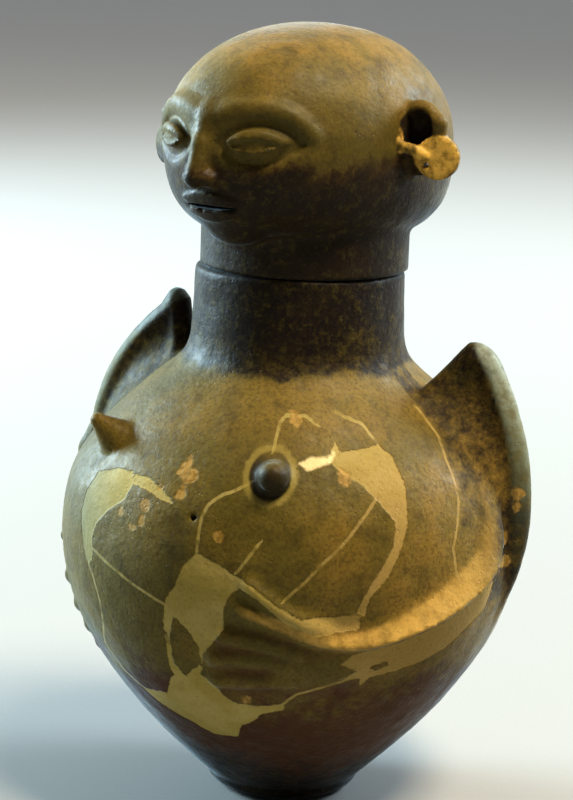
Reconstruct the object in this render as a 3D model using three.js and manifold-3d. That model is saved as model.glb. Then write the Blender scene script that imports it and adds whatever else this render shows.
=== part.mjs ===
// Anthropomorphic burial urn of burnished clay: a hollow pear-shaped jar with a straight neck, two
// wing-shaped arm stubs, forearms and hands in low relief and two breasts, and a hollow lid in the
// form of a human head.
// Millimetres, +Z up. The origin is the centre of the foot, on the surface the urn stands on. The
// figure faces -Y and its left side is +X. A "turn" is an angle about the Z axis, in degrees, from
// the front towards that left side.
import * as THREE from 'three';
import { mergeVertices } from 'three/addons/utils/BufferGeometryUtils.js';
import Module from 'manifold-3d';

const wasm = await Module();
wasm.setup();

// ---- driving dimensions ----

const JAR = {
  footRadius: 39, // flat underside
  heel: { radius: 56.5, height: 11 }, // top of the rounded heel
  belly: { radius: 167, height: 192 }, // widest level
  shoulder: { radius: 113, height: 296 }, // where the shoulder turns from convex to concave
  throat: { radius: 76.5, height: 345 }, // foot of the straight neck
  rim: { radius: 75, height: 388, rounding: 3.5 },
  wall: 9,
  floor: 12,
};

const DRILL_HOLE = { radius: 2.2, turn: 6.7, height: 237 }; // old hole through the belly

// The left breast is a dome, the right one a cone that points upwards.
const BREASTS = [
  { turn: 26, height: 265, tilt: 20, baseRadius: 13.5, tipRadius: 10, length: 16 },
  { turn: -33, height: 271, tilt: 42, baseRadius: 16, tipRadius: 5.5, length: 24.5 },
];
const BREAST_SUNK = 8;

// The two wings differ a little, as the hand-built ones do.
const LEFT_WING = { turn: 100, reach: 180, arcAbove: 218, tip: 346, tipRadius: 134, inner: 92 };
const RIGHT_WING = { turn: -88, reach: 178, arcAbove: 150, tip: 362, tipRadius: 104, inner: 84 };
const WING = {
  thickness: 24,
  low: 138, // the fin dies out in the belly here
  reachHeight: 226, // level of its furthest reach
  arcBelow: 150,
  root: 302, // where the inner edge meets the shoulder
  cove: 62, // how far the front face swings out to its foot
  backCove: 24,
  tipRound: 14,
};

// Routes over the belly, each point a [turn, height]. The crest of a forearm carries on the front
// edge of the wing and ends at the wrist. Fingers run from the knuckles to the tips.
const LEFT_ARM = {
  crest: [[94, 234], [91, 216], [87, 200], [80, 187], [72, 176], [61, 164], [51, 156], [42, 156]],
  palm: [[45, 140], [35, 137], [30, 138]],
  fingers: [
    [[38, 158], [29, 167], [20, 176]],
    [[34, 149], [25, 156], [16, 158]],
    [[33, 139], [23, 143], [13, 140]],
    [[33, 128], [23, 126], [13, 123]],
  ],
  thumb: [[39, 166], [31, 177], [22, 196]],
};
const RIGHT_ARM = {
  crest: [[-86, 226], [-86, 205], [-85, 185], [-83, 168], [-80, 156], [-76, 148], [-69, 146]],
  palm: [[-82, 134], [-75, 130], [-71, 130]],
  fingers: [
    [[-77, 146], [-67, 150], [-57, 153]],
    [[-75, 138], [-65, 136], [-55, 133]],
    [[-74, 129], [-65, 124], [-55, 117]],
    [[-74, 121], [-65, 113], [-56, 103]],
  ],
  thumb: [[-80, 152], [-72, 163], [-64, 178]],
};
// Widths of the slope above the crest and of the steep underside, and the crest's height. Pairs run
// from the wing to the wrist.
const FOREARM = { above: [26, 13], below: [7, 5], height: [13, 6] };
const PALM = { halfWidth: [17, 19], height: [4.3, 3.4] };
const FINGER = { halfWidth: [6.6, 5.4], height: [4.6, 4.0] };
const THUMB = { halfWidth: [6.5, 4.8], height: [6, 5] };

const LID = {
  turn: -7, // the head looks a little past the jar's front
  gap: 0.3, // hairline joint between the rim and the collar
  shift: new THREE.Vector3(2.4, 1.4, 0), // it sits a little off centre
  collar: { radius: 74.5, wall: 8.5, top: 432 },
  wall: 9,
};

const HEAD = {
  halfWidth: 92,
  halfLength: 119,
  middle: 474, // widest level
  crown: 560,
  base: 408,
  setBack: 2,
  chinTaper: 0.2, // share of the width lost at the chin
  chinSetBack: 0.05,
};
const HEAD_FULLNESS = { above: 2.15, below: 3.2 }; // exponents: 2 is an ellipse, more is squarer

// The ears are not a pair: the right one sits further out, forward and lower.
const EARS = [
  { side: 1, out: 95, forward: 1, height: 487 },
  { side: -1, out: 103, forward: 13, height: 478 },
];
// Parts of an ear, as [outwards, backwards, up] from its middle.
const EAR = {
  cup: { at: [0, 2, 0], halfSizes: [22.5, 11, 26] },
  bump: { at: [17, 0, 11], radius: 6 },
  scoop: { at: [2.5, -13, 1], halfSizes: [14, 19, 19.5] },
  lobe: { at: [17.5, 0, -12], radius: 15, halfThickness: 4.4, turn: 24 },
  lobeHole: { radius: 2, inwards: 7.5, down: 5 },
  hook: { line: [[-6, -11, -4], [-2, -12, -14], [11, -6, -14]], radius: 3.7 },
};

// Facial proportions of a plain drawing manual: eyes half way up the head, an eye's width between
// the eyes, the nose's foot half way from brow to chin and the mouth a third of the way below that.
const headHeight = HEAD.crown - HEAD.base;
const eyeWidth = (2 * HEAD.halfWidth) / 5;
const eyeLine = HEAD.base + headHeight / 2;
const browLine = eyeLine + headHeight * 0.09;
const noseFoot = (browLine + HEAD.base) / 2;
const mouthLine = noseFoot - (noseFoot - HEAD.base) / 3;
const FACE = {
  lids: { halfWidth: eyeWidth * 0.52, halfHeight: 9, thickness: 5 },
  eye: { halfWidth: eyeWidth * 0.42, halfHeight: 5.6, depth: 4.5 },
  pupil: { radius: 2.2, depth: 8 },
  nose: { halfWidth: eyeWidth * 0.42, reach: 17, rootReach: 4, rootHalfWidth: 6 },
  nostril: { radius: 2.2, apart: 8 },
  mouth: { halfWidth: eyeWidth * 0.72, halfHeight: 2.4, depth: 22 },
};

// ---- small helpers ----

const radians = THREE.MathUtils.degToRad;
const clamp01 = (value) => THREE.MathUtils.clamp(value, 0, 1);
const mix = THREE.MathUtils.lerp;

// Unit vectors at a turn: outwards from the axis, and along the circle towards the figure's left.
const outwards = (turn) => new THREE.Vector3(Math.sin(radians(turn)), -Math.cos(radians(turn)), 0);
const sideways = (turn) => new THREE.Vector3(Math.cos(radians(turn)), Math.sin(radians(turn)), 0);
const UP = new THREE.Vector3(0, 0, 1);

// A closed geometry as a solid, with its faces turned outwards whichever way it was wound.
function solid(geometry) {
  const bare = geometry.clone();
  bare.deleteAttribute('normal');
  bare.deleteAttribute('uv');
  const merged = mergeVertices(bare, 1e-4);
  const corners = Uint32Array.from(merged.index.array);
  const points = Float32Array.from(merged.attributes.position.array);
  const kept = [];
  let volume = 0;
  const [a, b, c] = [new THREE.Vector3(), new THREE.Vector3(), new THREE.Vector3()];
  for (let i = 0; i < corners.length; i += 3) {
    const [p, q, r] = corners.subarray(i, i + 3);
    if (p === q || q === r || r === p) continue;
    kept.push([p, q, r]);
    volume += a.fromArray(points, 3 * p).dot(b.fromArray(points, 3 * q).cross(c.fromArray(points, 3 * r)));
  }
  const triVerts = Uint32Array.from(kept.flatMap(([p, q, r]) => (volume < 0 ? [p, r, q] : [p, q, r])));
  return new wasm.Manifold(new wasm.Mesh({ numProp: 3, vertProperties: points, triVerts }));
}

const joined = (solids) => solids.reduce((whole, next) => whole.add(next));
const cutBy = (whole, cutters) => cutters.reduce((rest, cutter) => rest.subtract(cutter), whole);

function meshOf(name, body, material) {
  const { vertProperties, triVerts } = body.getMesh();
  const geometry = new THREE.BufferGeometry();
  geometry.setAttribute('position', new THREE.BufferAttribute(vertProperties, 3));
  geometry.setIndex(new THREE.BufferAttribute(triVerts, 1));
  geometry.computeVertexNormals();
  const mesh = new THREE.Mesh(geometry, material);
  mesh.name = name;
  return mesh;
}

// A turned shape: the profile's x is the radius and its y the height.
function turned(profile, segments) {
  return solid(new THREE.LatheGeometry(profile, segments).rotateX(Math.PI / 2));
}

// A sphere whose every point is moved by place(around, along, point): around is an angle, along runs
// 0 to 1 from pole to pole, and a pole is one point, at the angle 0.
function moulded(around, along, place) {
  const geometry = new THREE.SphereGeometry(1, around, along);
  const { position } = geometry.attributes;
  const point = new THREE.Vector3();
  for (let i = 0; i < position.count; i += 1) {
    point.fromBufferAttribute(position, i).normalize();
    const down = Math.acos(THREE.MathUtils.clamp(point.y, -1, 1)) / Math.PI;
    // Both ends of the seam, and every copy of a pole, get one and the same angle.
    const [x, z] = [point.x, point.z].map((value) => (Math.abs(value) < 1e-9 ? 0 : value));
    place(Math.atan2(z, x), down, point);
    position.setXYZ(i, point.x, point.y, point.z);
  }
  return solid(geometry);
}

// A ball squashed to three half sizes.
function ball([x, y, z], centre, segments = 9) {
  const geometry = new THREE.SphereGeometry(1, segments, Math.round(segments * 0.7));
  return solid(geometry.scale(x, y, z).translate(centre.x, centre.y, centre.z));
}

// A round bar or drill of the given radius from one point to another.
function bar(from, to, radius, segments = 6) {
  const along = to.clone().sub(from);
  const geometry = new THREE.CylinderGeometry(radius, radius, along.length(), segments);
  const upright = new THREE.Vector3(0, 1, 0);
  geometry.applyQuaternion(new THREE.Quaternion().setFromUnitVectors(upright, along.normalize()));
  const middle = from.clone().add(to).multiplyScalar(0.5);
  return solid(geometry.translate(middle.x, middle.y, middle.z));
}

// ---- the jar ----

// The outer wall from the edge of the flat foot to the rim, as [radius, height] points of smooth curves.
function jarWall() {
  const { footRadius, heel, belly, shoulder, throat, rim } = JAR;
  const line = new THREE.Path();
  line.moveTo(footRadius, 0);
  line.quadraticCurveTo(heel.radius - 3, 1.5, heel.radius, heel.height);
  line.bezierCurveTo(belly.radius * 0.64, 58, belly.radius, 122, belly.radius, belly.height);
  line.bezierCurveTo(belly.radius, 243, 147, 265, shoulder.radius, shoulder.height);
  line.bezierCurveTo(92, 315, throat.radius, 319, throat.radius, throat.height);
  line.lineTo(rim.radius, rim.height - rim.rounding);
  return line.getPoints(5);
}

const wallPoints = jarWall();

// Radius of the outer wall at a height, and the wall's outward normal there.
function wallAt(height) {
  const last = wallPoints.length - 1;
  let i = 1;
  while (i < last && wallPoints[i].y < height) i += 1;
  const [low, high] = [wallPoints[i - 1], wallPoints[i]];
  const part = clamp01((height - low.y) / (high.y - low.y));
  const along = high.clone().sub(low).normalize();
  return { radius: mix(low.x, high.x, part), normal: new THREE.Vector2(along.y, -along.x) };
}

// A point on the jar's wall, lifted off it along the normal.
function onWall(turn, height, lift = 0) {
  const { radius, normal } = wallAt(height);
  const out = outwards(turn);
  const level = height + lift * normal.y;
  return out.multiplyScalar(radius + lift * normal.x).addScaledVector(UP, level);
}

function wallNormal(turn, height) {
  const { normal } = wallAt(height);
  return outwards(turn).multiplyScalar(normal.x).addScaledVector(UP, normal.y);
}

function jarBody() {
  const { rim } = JAR;
  const edge = new THREE.Path();
  edge.absarc(rim.radius - rim.rounding, rim.height - rim.rounding, rim.rounding, 0, Math.PI / 2, false);
  const profile = [new THREE.Vector2(0, 0), ...wallPoints, ...edge.getPoints(2).slice(1)];
  profile.push(new THREE.Vector2(0, rim.height));
  return turned(profile, 48);
}

// The space inside: the outer wall moved in by the wall's thickness, above the floor and out
// through the mouth.
function jarHollow() {
  const inner = [];
  for (let i = 1; i < wallPoints.length; i += 2) {
    const { x, y } = wallPoints[i];
    const { normal } = wallAt(y);
    const radius = x - JAR.wall * normal.x;
    const height = y - JAR.wall * normal.y;
    if (height > JAR.floor * 2) inner.push(new THREE.Vector2(radius, height));
  }
  const mouth = JAR.rim.radius - JAR.wall;
  const profile = [new THREE.Vector2(0, JAR.floor), new THREE.Vector2(JAR.footRadius, JAR.floor), ...inner];
  profile.push(new THREE.Vector2(mouth, JAR.rim.height + 5), new THREE.Vector2(0, JAR.rim.height + 5));
  return turned(profile, 24);
}

// A wing: an upright fin whose outer edge is a long arc, with a round tip, a straight inner edge
// down to the shoulder, and coved faces that flow into the belly.
function wing(side) {
  const { turn, reach, arcAbove, tip, tipRadius, inner } = side;
  const [out, across] = [outwards(turn), sideways(turn)];
  const front = turn > 0 ? -1 : 1;
  const outerEdge = (height) => {
    const arcRadius = height > WING.reachHeight ? arcAbove : WING.arcBelow;
    const arc = reach - arcRadius + Math.sqrt(arcRadius ** 2 - (height - WING.reachHeight) ** 2);
    const round = clamp01((tip - height) / WING.tipRound);
    return mix(tipRadius, arc, Math.sqrt(1 - (1 - round) ** 2));
  };
  const innerEdge = (height) => {
    if (height < WING.root) return wallAt(height).radius * 0.84;
    const slope = (tipRadius - 4 - inner) / (tip - WING.root);
    const round = clamp01((tip - height) / WING.tipRound);
    return mix(tipRadius, inner + slope * (height - WING.root), Math.sqrt(1 - (1 - round) ** 2));
  };
  return moulded(16, 16, (around, along, point) => {
    const height = mix(tip, WING.low, along);
    const [low, high] = [innerEdge(height), outerEdge(height)];
    const rounding = Math.sqrt(1 - (1 - clamp01((tip - height) / WING.tipRound)) ** 2);
    const edge = Math.min(rounding * WING.thickness, high - low) / 2;
    const faded = clamp01((WING.root + 18 - height) / 90);
    const cove = (around > 0 ? WING.cove : WING.backCove) * faded;
    // From the outer edge inwards: a quarter round, then a face that sweeps out into the cove, then
    // the closed end.
    const inwards = Math.abs(around) / Math.PI;
    const roundShare = 0.3;
    const quarter = Math.min(1, inwards / roundShare) * Math.PI / 2;
    const face = clamp01((inwards - roundShare) / (1 - roundShare));
    const halfThickness = inwards > 0.99 ? 0 : edge * Math.sin(quarter) + cove * face ** 1.8;
    const radius = mix(high - edge * (1 - Math.cos(quarter)), low, face);
    point.copy(out).multiplyScalar(radius);
    point.addScaledVector(across, front * Math.sign(around) * halfThickness).addScaledVector(UP, height);
  });
}

// A raised strip that follows a route of [turn, height] points over the belly. place(cosine, sine,
// part) gives how far a point of its section lies up the belly and off the wall.
function strip(route, along, place) {
  const curve = new THREE.SplineCurve(route.map(([turn, level]) => new THREE.Vector2(turn, level)));
  const step = 0.01;
  const upwards = Math.sign(route[0][0] - route.at(-1)[0]);
  return moulded(8, along, (around, part, point) => {
    const here = curve.getPoint(part);
    const ahead = curve.getPoint(Math.min(1, part + step));
    const behind = curve.getPoint(Math.max(0, part - step));
    const normal = wallNormal(here.x, here.y);
    const tangent = onWall(ahead.x, ahead.y).sub(onWall(behind.x, behind.y));
    const side = tangent.cross(normal).normalize().multiplyScalar(upwards);
    const swell = Math.sqrt(Math.sin(Math.PI * part));
    const [across, lift] = place(Math.cos(around), Math.sin(around), part);
    point.copy(onWall(here.x, here.y));
    point.addScaledVector(side, across * swell);
    point.addScaledVector(normal, lift < 0 ? lift : lift * swell);
  });
}

const STRIP_SUNK = 6;

// A low round strip, such as a finger.
function ridge(route, { halfWidth, height }, along = 5) {
  return strip(route, along, (cosine, sine, part) => {
    const lift = sine > 0 ? mix(...height, part) : STRIP_SUNK;
    return [cosine * mix(...halfWidth, part), sine * lift];
  });
}

// The forearm: a hollowed slope up to a crest, and a steep underside.
function forearm(crest) {
  return strip(crest, 12, (cosine, sine, part) => {
    const width = mix(...(cosine > 0 ? FOREARM.above : FOREARM.below), part);
    const hollowed = cosine > 0 ? Math.max(0, sine) ** 3 : sine;
    const lift = sine > 0 ? hollowed * mix(...FOREARM.height, part) : sine * STRIP_SUNK;
    return [cosine * width, lift];
  });
}

function armAndHand({ crest, palm, fingers, thumb }) {
  const digits = fingers.map((finger) => ridge(finger, FINGER));
  return joined([forearm(crest), ridge(palm, PALM), ridge(thumb, THUMB), ...digits]);
}

function breast({ turn, height, tilt, baseRadius, tipRadius, length }) {
  const profile = new THREE.Path();
  profile.moveTo(0, -BREAST_SUNK);
  profile.lineTo(baseRadius, -BREAST_SUNK);
  profile.lineTo(baseRadius, 0);
  profile.lineTo(tipRadius, length - tipRadius * 0.6);
  profile.quadraticCurveTo(tipRadius * 0.8, length, 0, length);
  const geometry = new THREE.LatheGeometry(profile.getPoints(3), 10);
  const level = outwards(turn).multiplyScalar(Math.cos(radians(tilt)));
  const aim = level.addScaledVector(UP, Math.sin(radians(tilt)));
  const upright = new THREE.Vector3(0, 1, 0);
  geometry.applyQuaternion(new THREE.Quaternion().setFromUnitVectors(upright, aim));
  const { x, y, z } = onWall(turn, height);
  return solid(geometry.translate(x, y, z));
}

function jar() {
  const wings = [LEFT_WING, RIGHT_WING].map(wing);
  const arms = [LEFT_ARM, RIGHT_ARM].map(armAndHand);
  const whole = joined([jarBody(), ...wings, ...arms, ...BREASTS.map(breast)]);
  const { turn, height, radius } = DRILL_HOLE;
  const hole = bar(onWall(turn, height, -2 * JAR.wall), onWall(turn, height, 5), radius);
  return cutBy(whole, [jarHollow(), hole]);
}

// ---- the lid ----

// A point of the head's plain outer form. Along runs down from the crown, around is 0 at the
// figure's left and goes by the back. Inset moves the form inwards for the hollow.
function headForm(around, along, inset, point) {
  const down = Math.PI * along;
  const above = down < Math.PI / 2;
  const power = 2 / (above ? HEAD_FULLNESS.above : HEAD_FULLNESS.below);
  const rise = above ? HEAD.crown - HEAD.middle : HEAD.middle - HEAD.base;
  const level = Math.sign(Math.cos(down)) * Math.abs(Math.cos(down)) ** power * (rise - inset);
  const spread = Math.abs(Math.sin(down)) ** power;
  const forward = clamp01(-Math.sin(around));
  const low = clamp01(-level / rise);
  const jaw = 1 - HEAD.chinTaper * forward * low;
  point.x = Math.cos(around) * spread * (HEAD.halfWidth - inset) * jaw;
  const chin = 1 - HEAD.chinSetBack * forward * low;
  point.y = Math.sin(around) * spread * (HEAD.halfLength - inset) * chin + HEAD.setBack;
  point.z = HEAD.middle + level;
}

function headShell(inset, around, along) {
  return moulded(around, along, (angle, down, point) => headForm(angle, down, inset, point));
}

// Where the plain face lies in front of a point at x, z: the place of the head's surface in y.
function faceAt(x, z) {
  const above = z > HEAD.middle;
  const fullness = above ? HEAD_FULLNESS.above : HEAD_FULLNESS.below;
  const rise = above ? HEAD.crown - HEAD.middle : HEAD.middle - HEAD.base;
  const low = clamp01((HEAD.middle - z) / rise);
  const spread = (1 - Math.abs((z - HEAD.middle) / rise) ** fullness) ** (1 / fullness);
  const halfWidth = HEAD.halfWidth * spread * (1 - HEAD.chinTaper * low);
  const halfLength = HEAD.halfLength * spread * (1 - HEAD.chinSetBack * low);
  return HEAD.setBack - halfLength * Math.sqrt(Math.max(0, 1 - (x / halfWidth) ** 2));
}

// The nose: a ridge that widens and rises from the brow down to a blunt foot.
function nose() {
  const { halfWidth, reach, rootReach, rootHalfWidth } = FACE.nose;
  return moulded(10, 8, (around, along, point) => {
    const z = mix(browLine + 4, noseFoot - 1, along);
    const width = mix(rootHalfWidth, halfWidth, along ** 2.5);
    const forward = mix(rootReach, reach, along ** 1.2);
    const swell = Math.sin(Math.PI * along) ** (along < 0.5 ? 0.35 : 0.1);
    const front = Math.max(0, Math.sin(around)) ** 0.8 * forward;
    const behind = Math.max(0, -Math.sin(around)) * 10;
    const depth = faceAt(0, z) + (behind - front) * swell;
    point.set(Math.cos(around) * width * swell, depth, z);
  });
}

// A thin cup that opens forwards, with a bump on its rim, a hooked foot and a pierced disc for a lobe.
function ear({ side, out, forward, height }) {
  const { cup, bump, scoop, lobe, lobeHole, hook } = EAR;
  const at = ([across, back, up]) => {
    return new THREE.Vector3(side * (out + across), back - forward, height + up);
  };
  const bumpBall = ball(Array(3).fill(bump.radius), at(bump.at), 6);
  const shell = ball(cup.halfSizes, at(cup.at)).add(bumpBall);
  const hollow = ball(scoop.halfSizes, at(scoop.at));
  const face = new THREE.Vector3(side * Math.sin(radians(lobe.turn)), -Math.cos(radians(lobe.turn)), 0);
  const along = new THREE.Vector3(side * Math.cos(radians(lobe.turn)), Math.sin(radians(lobe.turn)), 0);
  const middle = at(lobe.at);
  const through = (centre, half) => {
    return [centre.clone().addScaledVector(face, -half), centre.clone().addScaledVector(face, half)];
  };
  const disc = bar(...through(middle, lobe.halfThickness), lobe.radius, 14);
  const pierced = middle.clone().addScaledVector(along, -lobeHole.inwards);
  pierced.addScaledVector(UP, -lobeHole.down);
  const hole = bar(...through(pierced, lobe.halfThickness * 4), lobeHole.radius);
  const [a, b, c] = hook.line.map(at);
  const bent = bar(a, b, hook.radius).add(bar(b, c, hook.radius));
  return cutBy(shell.subtract(hollow).add(disc).add(bent), [hole]);
}

// The lids stand a little out of the face round each eye.
function eyelids(side) {
  const { halfWidth, halfHeight, thickness } = FACE.lids;
  const x = side * eyeWidth;
  const place = new THREE.Vector3(x, faceAt(x, eyeLine) + 1, eyeLine);
  return ball([halfWidth, thickness, halfHeight], place);
}

// What is cut from the face: the eyes' openings and pupils, the nostrils and the mouth's slit.
function faceCutters() {
  const { eye, pupil, nostril, mouth } = FACE;
  const cutters = [];
  for (const side of [-1, 1]) {
    const x = side * eyeWidth;
    const surface = faceAt(x, eyeLine);
    const front = surface - FACE.lids.thickness + 1;
    const opening = new THREE.Vector3(x, front, eyeLine);
    cutters.push(ball([eye.halfWidth, eye.depth, eye.halfHeight], opening));
    const [before, behind] = [-10, pupil.depth].map((y) => new THREE.Vector3(x, front + y, eyeLine));
    cutters.push(bar(before, behind, pupil.radius));
    const foot = new THREE.Vector3(side * nostril.apart, faceAt(0, noseFoot) - 12, noseFoot - 2);
    const inside = foot.clone().add(new THREE.Vector3(0, 28, 14));
    cutters.push(bar(foot, inside, nostril.radius));
  }
  const lips = new THREE.Vector3(0, faceAt(0, mouthLine), mouthLine);
  cutters.push(ball([mouth.halfWidth, mouth.depth, mouth.halfHeight], lips));
  return cutters;
}

function headLid() {
  const { collar, gap, wall } = LID;
  const seat = JAR.rim.height + gap;
  const ring = (radius, low, high) => {
    const corners = [[0, low], [radius, low], [radius, high], [0, high]];
    return turned(corners.map(([x, y]) => new THREE.Vector2(x, y)), 36);
  };
  const features = [nose(), eyelids(1), eyelids(-1), ...EARS.map(ear)];
  const outside = joined([headShell(0, 32, 20), ring(collar.radius, seat, collar.top), ...features]);
  const bore = ring(collar.radius - collar.wall, seat - 5, collar.top);
  return cutBy(outside, [headShell(wall, 20, 12), bore, ...faceCutters()]);
}

// ---- the urn ----

const clay = { color: 0x6b4a2a, roughness: 0.55, metalness: 0 };
const group = new THREE.Group();
group.add(meshOf('jar', jar(), new THREE.MeshStandardMaterial(clay)));

const lid = meshOf('head_lid', headLid(), new THREE.MeshStandardMaterial({ ...clay, color: 0x75512d }));
lid.position.copy(LID.shift);
lid.rotation.z = radians(LID.turn);
group.add(lid);

export default group;
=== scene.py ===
"""Looks of an anthropomorphic burial urn: a burnished clay jar with wing-shaped arms, hands and
breasts, broken and mended with plaster, under a lid that is a human head.

Both pieces are modelled as distance fields, in millimetres: a field is a function of points that is
negative inside the clay. The surface where it is zero becomes the mesh. The frame is the CAD's: +Z up,
the figure faces -Y and its left is +X. A "turn" is an angle about the Z axis, in degrees, from the front
towards the figure's left. A place on the jar's wall is given as (turn, height).
"""
import math

import bpy
import numpy as np
from mathutils import Matrix, Vector


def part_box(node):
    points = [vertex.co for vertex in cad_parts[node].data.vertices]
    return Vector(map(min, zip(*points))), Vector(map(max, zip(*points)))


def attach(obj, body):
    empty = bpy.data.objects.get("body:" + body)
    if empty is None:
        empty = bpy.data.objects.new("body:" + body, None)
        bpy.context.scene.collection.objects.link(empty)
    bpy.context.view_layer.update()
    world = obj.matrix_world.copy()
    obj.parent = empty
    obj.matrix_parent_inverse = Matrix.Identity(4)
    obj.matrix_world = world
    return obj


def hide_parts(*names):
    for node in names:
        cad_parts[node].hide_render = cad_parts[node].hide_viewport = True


MM = 0.001

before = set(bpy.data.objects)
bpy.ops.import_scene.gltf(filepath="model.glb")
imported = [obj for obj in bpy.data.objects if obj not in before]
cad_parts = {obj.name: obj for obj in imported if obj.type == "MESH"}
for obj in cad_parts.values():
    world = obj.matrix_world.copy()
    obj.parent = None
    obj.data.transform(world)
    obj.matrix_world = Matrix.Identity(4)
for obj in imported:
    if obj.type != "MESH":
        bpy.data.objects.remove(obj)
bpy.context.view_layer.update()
jar_low, jar_high = (np.array(corner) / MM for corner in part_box("jar"))
lid_low, lid_high = (np.array(corner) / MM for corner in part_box("head_lid"))

# ---- driving dimensions, the CAD's own ----

BELLY_RADIUS = jar_high[1]
RIM_HEIGHT = jar_high[2]
CROWN_HEIGHT = lid_high[2]
SEAT_HEIGHT = lid_low[2]

FOOT_RADIUS = 39
HEEL = (56.5, 11)
BELLY_HEIGHT = 192
SHOULDER = (113, 296)
THROAT = (76.5, 345)
RIM_RADIUS = 75
RIM_ROUNDING = 3.5
WALL = 9
FLOOR = 12

JAR_STEP = 2.8  # spacing of the grid that the jar's surface is found on
LID_STEP = 2.0
INSIDE_KEPT = 0.3  # share of the faces kept in the smooth hollow, which only shows through the mouth

rng = np.random.default_rng(700)


# ---- curves and vectors ----

def bezier(start, handle_a, handle_b, end, count=14):
    """Points of a cubic curve, its start left out."""
    t = np.linspace(0, 1, count + 1)[1:, None]
    parts = [(1 - t) ** 3, 3 * t * (1 - t) ** 2, 3 * t * t * (1 - t), t ** 3]
    return sum(part * np.array(point, float) for part, point in zip(parts, (start, handle_a, handle_b, end)))


def spline(points, count):
    """Points of a smooth line through the given ones (Catmull-Rom)."""
    points = np.array(points, float)
    padded = np.vstack([2 * points[0] - points[1], points, 2 * points[-1] - points[-2]])
    places = np.linspace(0, len(points) - 1, count)
    piece = np.minimum(places.astype(int), len(points) - 2)
    t = (places - piece)[:, None]
    p0, p1, p2, p3 = (padded[piece + i] for i in range(4))
    return 0.5 * (2 * p1 + (p2 - p0) * t + (2 * p0 - 5 * p1 + 4 * p2 - p3) * t ** 2
                  + (3 * p1 - p0 - 3 * p2 + p3) * t ** 3)


def outwards(turn):
    return np.array([math.sin(math.radians(turn)), -math.cos(math.radians(turn)), 0.0])


def sideways(turn):
    return np.array([math.cos(math.radians(turn)), math.sin(math.radians(turn)), 0.0])


def ramp(value, start, end):
    """0 at start, 1 at end, smooth between."""
    t = np.clip((value - start) / (end - start), 0, 1)
    return t * t * (3 - 2 * t)


# ---- fields ----

def join(a, b, blend):
    """Both shapes, with a fillet where they meet."""
    h = np.clip(0.5 + 0.5 * (b - a) / blend, 0, 1)
    return b + (a - b) * h - blend * h * (1 - h)


def cut(a, b, blend):
    """The first shape without the second."""
    return -join(-a, b, blend)


def ellipsoid(points, centre, half_sizes):
    scaled = (points - centre) / half_sizes
    length = np.linalg.norm(scaled, axis=1)
    slope = np.linalg.norm(scaled / half_sizes, axis=1)
    return length * (length - 1) / np.maximum(slope, 1e-9)


def capsule(points, a, b, radius_a, radius_b):
    """A straight bar with round ends, thicker at one end than the other."""
    along = b - a
    t = np.clip((points - a) @ along / (along @ along), 0, 1)
    return np.linalg.norm(points - a - t[:, None] * along, axis=1) - (radius_a + (radius_b - radius_a) * t)


def near(field, points, low, high, margin, far=30.0):
    """A field worked out only in a box with a margin. Elsewhere it is just far away."""
    inside = np.all((points > low - margin) & (points < high + margin), axis=1)
    values = np.full(len(points), far)
    if inside.any():
        values[inside] = field(points[inside])
    return values


def sweep(points, centres, radii, margin=14):
    """A bar along a line of centres."""
    reach = max(radii)

    def bar(close):
        values = np.full(len(close), 1e3)
        for i in range(len(centres) - 1):
            values = np.minimum(values, capsule(close, centres[i], centres[i + 1], radii[i], radii[i + 1]))
        return values

    return near(bar, points, centres.min(0) - reach, centres.max(0) + reach, margin)


class Outline:
    """Signed distance to a closed outline in a plane, worked out once on a fine grid and then read off it."""

    def __init__(self, corners, low, high, step=1.0):
        self.low, self.step = np.array(low, float), step
        self.counts = np.ceil((np.array(high) - low) / step).astype(int) + 1
        u, v = (self.low[i] + step * np.arange(self.counts[i]) for i in range(2))
        uu, vv = np.meshgrid(u, v, indexing="ij")
        self.values = distance_to_outline(uu.ravel(), vv.ravel(),
                                          np.array(corners, float)).reshape(self.counts)

    def __call__(self, u, v):
        place = [np.clip((value - self.low[i]) / self.step, 0, self.counts[i] - 1.001)
                 for i, value in enumerate((u, v))]
        (i, j), (s, t) = ([p.astype(int) for p in place], [p - p.astype(int) for p in place])
        rows = self.values
        return ((rows[i, j] * (1 - s) + rows[i + 1, j] * s) * (1 - t)
                + (rows[i, j + 1] * (1 - s) + rows[i + 1, j + 1] * s) * t)


def distance_to_outline(u, v, corners, scale=1.0):
    """Signed distance, negative inside. scale is what one unit of u measures at each point."""
    best = np.full(len(u), 1e9)
    inside = np.zeros(len(u), bool)
    for (au, av), (bu, bv) in zip(corners, np.roll(corners, -1, axis=0)):
        best = np.minimum(best, distance_to_segment(u, v, (au, av), (bu, bv), scale))
        if av != bv:
            crosses = (v < av) != (v < bv)
            inside ^= crosses & (u < au + (v - av) * (bu - au) / (bv - av))
    return np.where(inside, -best, best)


def distance_to_segment(u, v, a, b, scale=1.0):
    au, av = (a[0] - u) * scale, a[1] - v
    du, dv = (b[0] - a[0]) * scale, b[1] - a[1]
    t = np.clip(-(au * du + av * dv) / (du * du + dv * dv + 1e-12), 0, 1)
    return np.hypot(au + t * du, av + t * dv)


def signed_line_distance(turn, height, scale, lines):
    """Distance to the nearest of some open lines, with a sign for its side, and the same without a sign."""
    best = np.full(len(turn), 1e9)
    sign = np.ones(len(turn))
    for line in lines:
        for a, b in zip(line, line[1:]):
            distance = distance_to_segment(turn, height, a, b, scale)
            side = (b[0] - a[0]) * scale * (height - a[1]) - (b[1] - a[1]) * (turn - a[0]) * scale
            closer = distance < best
            best = np.where(closer, distance, best)
            sign = np.where(closer, np.where(side < 0, -1, 1), sign)
    return best * sign, best


# ---- the jar's wall ----

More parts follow.
